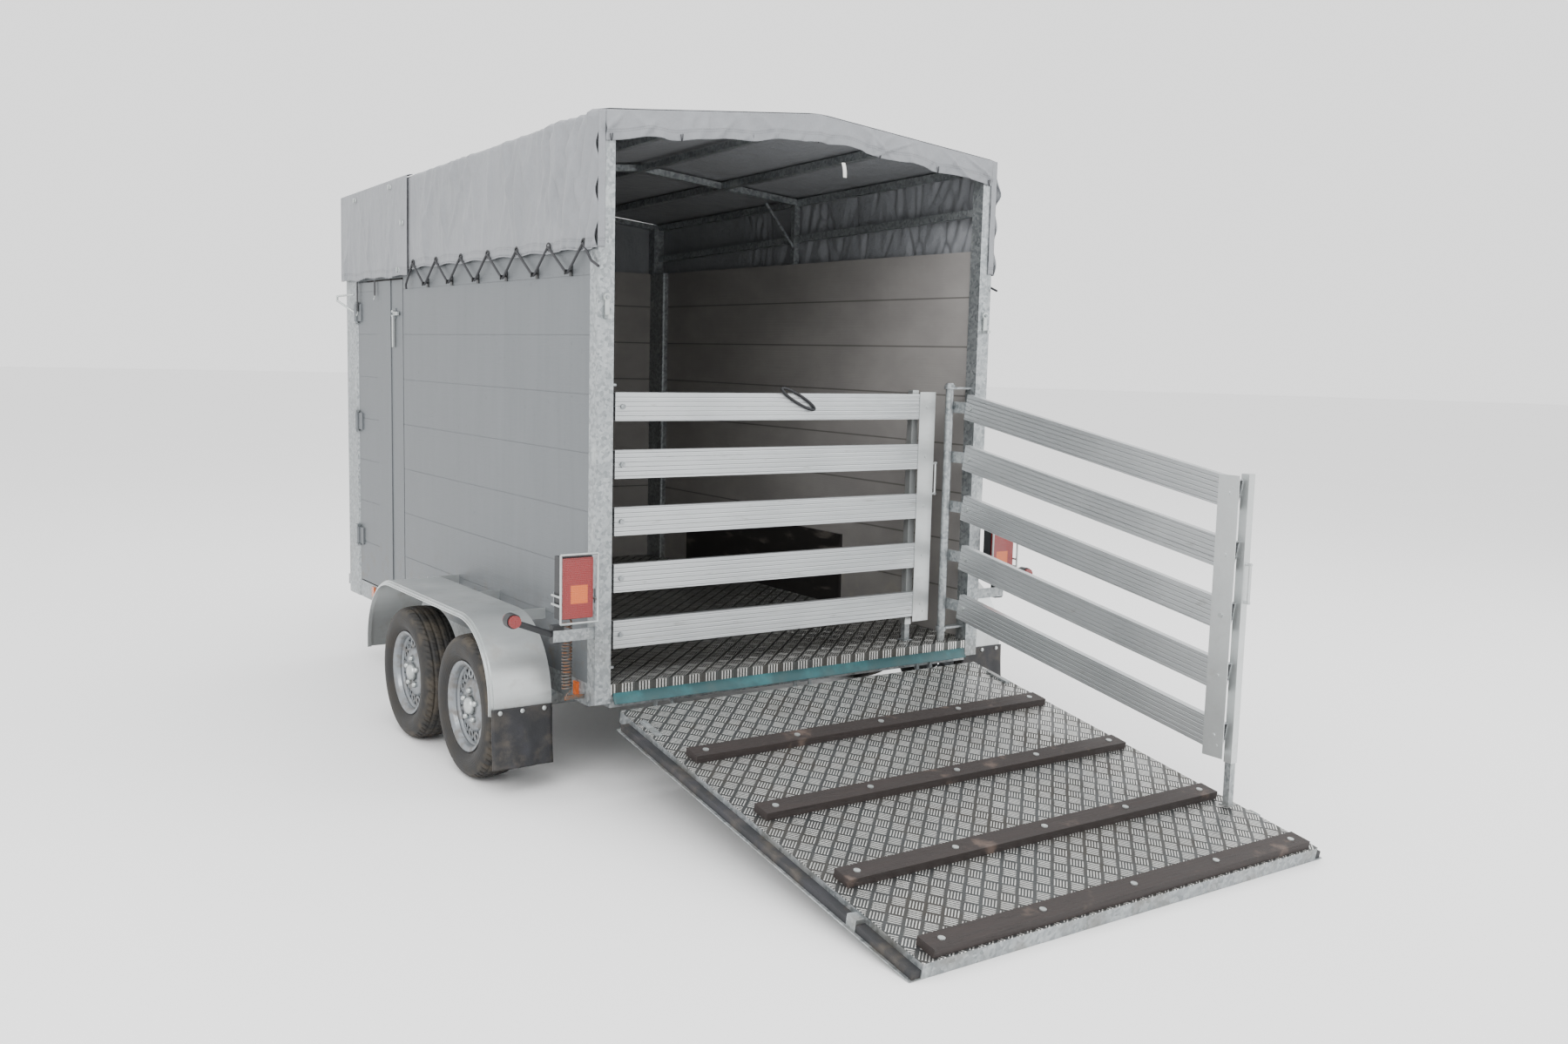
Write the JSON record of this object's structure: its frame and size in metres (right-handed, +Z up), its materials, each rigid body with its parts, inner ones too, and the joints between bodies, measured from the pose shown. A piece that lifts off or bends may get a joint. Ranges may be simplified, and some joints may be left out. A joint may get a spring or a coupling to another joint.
{
  "type": "livestock trailer",
  "caption": "Tandem-axle livestock trailer with drop ramp, two drooping guard gates, side door, canvas roof and drawbar with jockey wheel.",
  "frame": {"origin": "on the ground, under the centre of the overall box with the ramp down", "axes": "+X right seen from behind, +Y forward to the coupling, +Z up"},
  "size_m": [2.38, 5.7441, 2.4137],
  "materials": {
    "galvanised": "satin",
    "aluminium_planks": "satin",
    "bright_aluminium": "satin",
    "checker_plate": "gloss",
    "canvas": "matte",
    "black_rubber": "matte",
    "teal_rubber": "matte",
    "red_lens": "gloss",
    "black_plastic": "satin",
    "cleat_wood": "matte",
    "wheel": "matte",
    "coated_board": "matte",
    "zinc_rod": "satin",
    "spring_steel": "rough",
    "cast_coupling": "satin",
    "red_paint": "satin"
  },
  "bodies": {
    "chassis": {"chassis_frame": "galvanised", "axles": "galvanised", "floor_plate": "checker_plate", "side_wall_left": "aluminium_planks", "side_wall_right": "aluminium_planks", "front_wall": "aluminium_planks", "front_posts": "galvanised", "rear_posts": "galvanised", "roof_frame": "galvanised", "canvas": "canvas", "shock_cords": "black_rubber", "rod_fittings": "zinc_rod", "mudguards": "bright_aluminium", "mud_flaps": "black_rubber", "lamp_bodies": "black_plastic", "lamp_lenses": "red_lens", "lift_springs": "spring_steel", "threshold_flap": "teal_rubber", "kick_board": "coated_board", "drawbar": "galvanised", "coupling_body": "cast_coupling"},
    "coupling_handle": {"coupling_handle": "black_plastic"},
    "handbrake_lever": {"handbrake_lever": "red_paint"},
    "jockey_leg": {"jockey_leg": "zinc_rod"},
    "jockey_wheel": {"jockey_wheel": "black_rubber"},
    "side_door": {"side_door": "aluminium_planks"},
    "door_latch": {"door_latch": "zinc_rod"},
    "ramp": {"ramp_deck": "checker_plate", "ramp_frame": "galvanised", "ramp_seals": "black_rubber", "ramp_cleats": "cleat_wood", "cleat_bolts": "zinc_rod"},
    "ramp_latch_left": {"ramp_latch_left": "zinc_rod"},
    "ramp_latch_right": {"ramp_latch_right": "zinc_rod"},
    "left_gate": {"left_gate_tube": "galvanised"},
    "left_gate_end": {"left_gate_end": "bright_aluminium"},
    "left_foot": {"left_foot": "galvanised"},
    "right_gate": {"right_gate_tube": "galvanised"},
    "right_end_bolt": {"right_end_bolt": "zinc_rod"},
    "right_gate_end": {"right_gate_end": "bright_aluminium"},
    "right_foot": {"right_foot": "galvanised"},
    "wheel_rear_left": {"wheel_rear_left": "wheel"},
    "wheel_front_left": {"wheel_front_left": "wheel"},
    "wheel_rear_right": {"wheel_rear_right": "wheel"},
    "wheel_front_right": {"wheel_front_right": "wheel"},
    "left_slat_1": {"left_slat_1": "bright_aluminium"},
    "right_slat_1": {"right_slat_1": "bright_aluminium"},
    "right_bolt_1": {"right_bolt_1": "zinc_rod"},
    "left_slat_2": {"left_slat_2": "bright_aluminium"},
    "right_slat_2": {"right_slat_2": "bright_aluminium"},
    "right_bolt_2": {"right_bolt_2": "zinc_rod"},
    "left_slat_3": {"left_slat_3": "bright_aluminium"},
    "right_slat_3": {"right_slat_3": "bright_aluminium"},
    "right_bolt_3": {"right_bolt_3": "zinc_rod"},
    "left_slat_4": {"left_slat_4": "bright_aluminium"},
    "right_slat_4": {"right_slat_4": "bright_aluminium"},
    "right_bolt_4": {"right_bolt_4": "zinc_rod"},
    "left_slat_5": {"left_slat_5": "bright_aluminium"},
    "right_slat_5": {"right_slat_5": "bright_aluminium"},
    "right_bolt_5": {"right_bolt_5": "zinc_rod"}
  },
  "joints": [
    {"name": "ramp_hinge", "type": "hinge", "parent": "chassis", "child": "ramp", "pos_m": [0, -1.22995, 0.291], "axis": [-1, 0, 0], "range_deg": [0, 58]},
    {"name": "left_gate_swing", "type": "hinge", "parent": "chassis", "child": "left_gate", "pos_m": [-0.79, -1.09445, 0.9], "axis": [0, 0, 1], "range_deg": [-90, 0]},
    {"name": "right_gate_swing", "type": "hinge", "parent": "chassis", "child": "right_gate", "pos_m": [0.7205, -1.14295, 0.9], "axis": [0, 0, 1], "range_deg": [-90, 0]},
    {"name": "left_slat_1_pivot", "type": "hinge", "parent": "left_gate", "child": "left_slat_1", "pos_m": [-0.735, -1.09445, 0.555], "axis": [0, 1, 0], "range_deg": [0, 10]},
    {"name": "left_slat_2_pivot", "type": "hinge", "parent": "left_gate", "child": "left_slat_2", "pos_m": [-0.735, -1.09445, 0.755], "axis": [0, 1, 0], "range_deg": [0, 10]},
    {"name": "left_slat_3_pivot", "type": "hinge", "parent": "left_gate", "child": "left_slat_3", "pos_m": [-0.735, -1.09445, 0.955], "axis": [0, 1, 0], "range_deg": [0, 10]},
    {"name": "left_slat_4_pivot", "type": "hinge", "parent": "left_gate", "child": "left_slat_4", "pos_m": [-0.735, -1.09445, 1.155], "axis": [0, 1, 0], "range_deg": [0, 10]},
    {"name": "left_slat_5_pivot", "type": "hinge", "parent": "left_gate", "child": "left_slat_5", "pos_m": [-0.735, -1.09445, 1.355], "axis": [0, 1, 0], "range_deg": [0, 10]},
    {"name": "left_end_pivot", "type": "hinge", "parent": "left_slat_3", "child": "left_gate_end", "pos_m": [0.635, -1.09445, 0.955], "axis": [0, 1, 0], "range_deg": [-10, 0]},
    {"name": "left_foot_slide", "type": "slide", "parent": "left_gate_end", "child": "left_foot", "axis": [0, 0, 1], "range_m": [-0.022, 0]},
    {"name": "right_bolt_1_turn", "type": "hinge", "parent": "right_gate", "child": "right_bolt_1", "pos_m": [0.7205, -1.28295, 0.555], "axis": [-1, 0, 0], "range_deg": [0, 10]},
    {"name": "right_slat_1_pivot", "type": "hinge", "parent": "right_bolt_1", "child": "right_slat_1", "pos_m": [0.7205, -1.28295, 0.555], "axis": [-1, 0, 0], "range_deg": [0, 66.04]},
    {"name": "right_bolt_2_turn", "type": "hinge", "parent": "right_gate", "child": "right_bolt_2", "pos_m": [0.7205, -1.28295, 0.755], "axis": [-1, 0, 0], "range_deg": [0, 10]},
    {"name": "right_slat_2_pivot", "type": "hinge", "parent": "right_bolt_2", "child": "right_slat_2", "pos_m": [0.7205, -1.28295, 0.755], "axis": [-1, 0, 0], "range_deg": [0, 66.04]},
    {"name": "right_bolt_3_turn", "type": "hinge", "parent": "right_gate", "child": "right_bolt_3", "pos_m": [0.7205, -1.28295, 0.955], "axis": [-1, 0, 0], "range_deg": [0, 10]},
    {"name": "right_slat_3_pivot", "type": "hinge", "parent": "right_bolt_3", "child": "right_slat_3", "pos_m": [0.7205, -1.28295, 0.955], "axis": [-1, 0, 0], "range_deg": [0, 66.04]},
    {"name": "right_bolt_4_turn", "type": "hinge", "parent": "right_gate", "child": "right_bolt_4", "pos_m": [0.7205, -1.28295, 1.155], "axis": [-1, 0, 0], "range_deg": [0, 10]},
    {"name": "right_slat_4_pivot", "type": "hinge", "parent": "right_bolt_4", "child": "right_slat_4", "pos_m": [0.7205, -1.28295, 1.155], "axis": [-1, 0, 0], "range_deg": [0, 66.04]},
    {"name": "right_bolt_5_turn", "type": "hinge", "parent": "right_gate", "child": "right_bolt_5", "pos_m": [0.7205, -1.28295, 1.355], "axis": [-1, 0, 0], "range_deg": [0, 10]},
    {"name": "right_slat_5_pivot", "type": "hinge", "parent": "right_bolt_5", "child": "right_slat_5", "pos_m": [0.7205, -1.28295, 1.355], "axis": [-1, 0, 0], "range_deg": [0, 66.04]},
    {"name": "right_end_bolt_turn", "type": "hinge", "parent": "right_slat_3", "child": "right_end_bolt", "pos_m": [0.7205, -2.52949, 0.73969], "axis": [-1, 0, 0], "range_deg": [-66.04, 0]},
    {"name": "right_end_pivot", "type": "hinge", "parent": "right_end_bolt", "child": "right_gate_end", "pos_m": [0.7205, -2.52949, 0.73969], "axis": [-1, 0, 0], "range_deg": [-10, 0]},
    {"name": "right_foot_slide", "type": "slide", "parent": "right_gate_end", "child": "right_foot", "axis": [0, 0, 1], "range_m": [0, 0.08505]},
    {"name": "wheel_rear_left_spin", "type": "hinge", "parent": "chassis", "child": "wheel_rear_left", "pos_m": [-1.0965, -0.71895, 0.261], "axis": [1, 0, 0], "continuous": true},
    {"name": "wheel_front_left_spin", "type": "hinge", "parent": "chassis", "child": "wheel_front_left", "pos_m": [-1.0965, -0.11195, 0.261], "axis": [1, 0, 0], "continuous": true},
    {"name": "wheel_rear_right_spin", "type": "hinge", "parent": "chassis", "child": "wheel_rear_right", "pos_m": [1.0965, -0.71895, 0.261], "axis": [1, 0, 0], "continuous": true},
    {"name": "wheel_front_right_spin", "type": "hinge", "parent": "chassis", "child": "wheel_front_right", "pos_m": [1.0965, -0.11195, 0.261], "axis": [1, 0, 0], "continuous": true},
    {"name": "side_door_hinge", "type": "hinge", "parent": "chassis", "child": "side_door", "pos_m": [-0.88, 1.36905, 1.18], "axis": [0, 0, 1], "range_deg": [-95, 0]},
    {"name": "door_latch_turn", "type": "hinge", "parent": "side_door", "child": "door_latch", "pos_m": [-0.878, 0.84005, 1.69], "axis": [1, 0, 0], "range_deg": [-80, 0]},
    {"name": "ramp_latch_left_turn", "type": "hinge", "parent": "chassis", "child": "ramp_latch_left", "pos_m": [-0.845, -1.19595, 1.722], "axis": [0, 1, 0], "range_deg": [0, 90]},
    {"name": "ramp_latch_right_turn", "type": "hinge", "parent": "chassis", "child": "ramp_latch_right", "pos_m": [0.845, -1.19595, 1.722], "axis": [0, 1, 0], "range_deg": [-90, 0]},
    {"name": "coupling_handle_lift", "type": "hinge", "parent": "chassis", "child": "coupling_handle", "pos_m": [0, 2.79405, 0.4745], "axis": [-1, 0, 0], "range_deg": [0, 50]},
    {"name": "handbrake_pull", "type": "hinge", "parent": "chassis", "child": "handbrake_lever", "pos_m": [0.05, 2.51005, 0.434], "axis": [1, 0, 0], "range_deg": [0, 60]},
    {"name": "jockey_leg_slide", "type": "slide", "parent": "chassis", "child": "jockey_leg", "axis": [0, 0, 1], "range_m": [0, 0.08]},
    {"name": "jockey_wheel_spin", "type": "hinge", "parent": "jockey_leg", "child": "jockey_wheel", "pos_m": [0.092, 2.18005, 0.1], "axis": [1, 0, 0], "continuous": true}
  ],
  "couplings": [
    {"joint": "left_slat_1_pivot", "follows": "left_gate_swing", "ratio": -0.10889},
    {"joint": "left_slat_2_pivot", "follows": "left_gate_swing", "ratio": -0.10889},
    {"joint": "left_slat_3_pivot", "follows": "left_gate_swing", "ratio": -0.10889},
    {"joint": "left_slat_4_pivot", "follows": "left_gate_swing", "ratio": -0.10889},
    {"joint": "left_slat_5_pivot", "follows": "left_gate_swing", "ratio": -0.10889},
    {"joint": "left_end_pivot", "follows": "left_gate_swing", "ratio": 0.10889},
    {"joint": "left_foot_slide", "follows": "left_gate_swing", "m_per_rad": 0.013369},
    {"joint": "right_bolt_1_turn", "follows": "right_gate_swing", "ratio": -0.10889},
    {"joint": "right_slat_1_pivot", "follows": "ramp_hinge", "ratio": 1.13},
    {"joint": "right_bolt_2_turn", "follows": "right_gate_swing", "ratio": -0.10889},
    {"joint": "right_slat_2_pivot", "follows": "ramp_hinge", "ratio": 1.13},
    {"joint": "right_bolt_3_turn", "follows": "right_gate_swing", "ratio": -0.10889},
    {"joint": "right_slat_3_pivot", "follows": "ramp_hinge", "ratio": 1.13},
    {"joint": "right_bolt_4_turn", "follows": "right_gate_swing", "ratio": -0.10889},
    {"joint": "right_slat_4_pivot", "follows": "ramp_hinge", "ratio": 1.13},
    {"joint": "right_bolt_5_turn", "follows": "right_gate_swing", "ratio": -0.10889},
    {"joint": "right_slat_5_pivot", "follows": "ramp_hinge", "ratio": 1.13},
    {"joint": "right_end_bolt_turn", "follows": "ramp_hinge", "ratio": -1.13},
    {"joint": "right_end_pivot", "follows": "right_gate_swing", "ratio": 0.10889},
    {"joint": "right_foot_slide", "follows": "right_gate_swing", "m_per_rad": -0.053506}
  ]
}
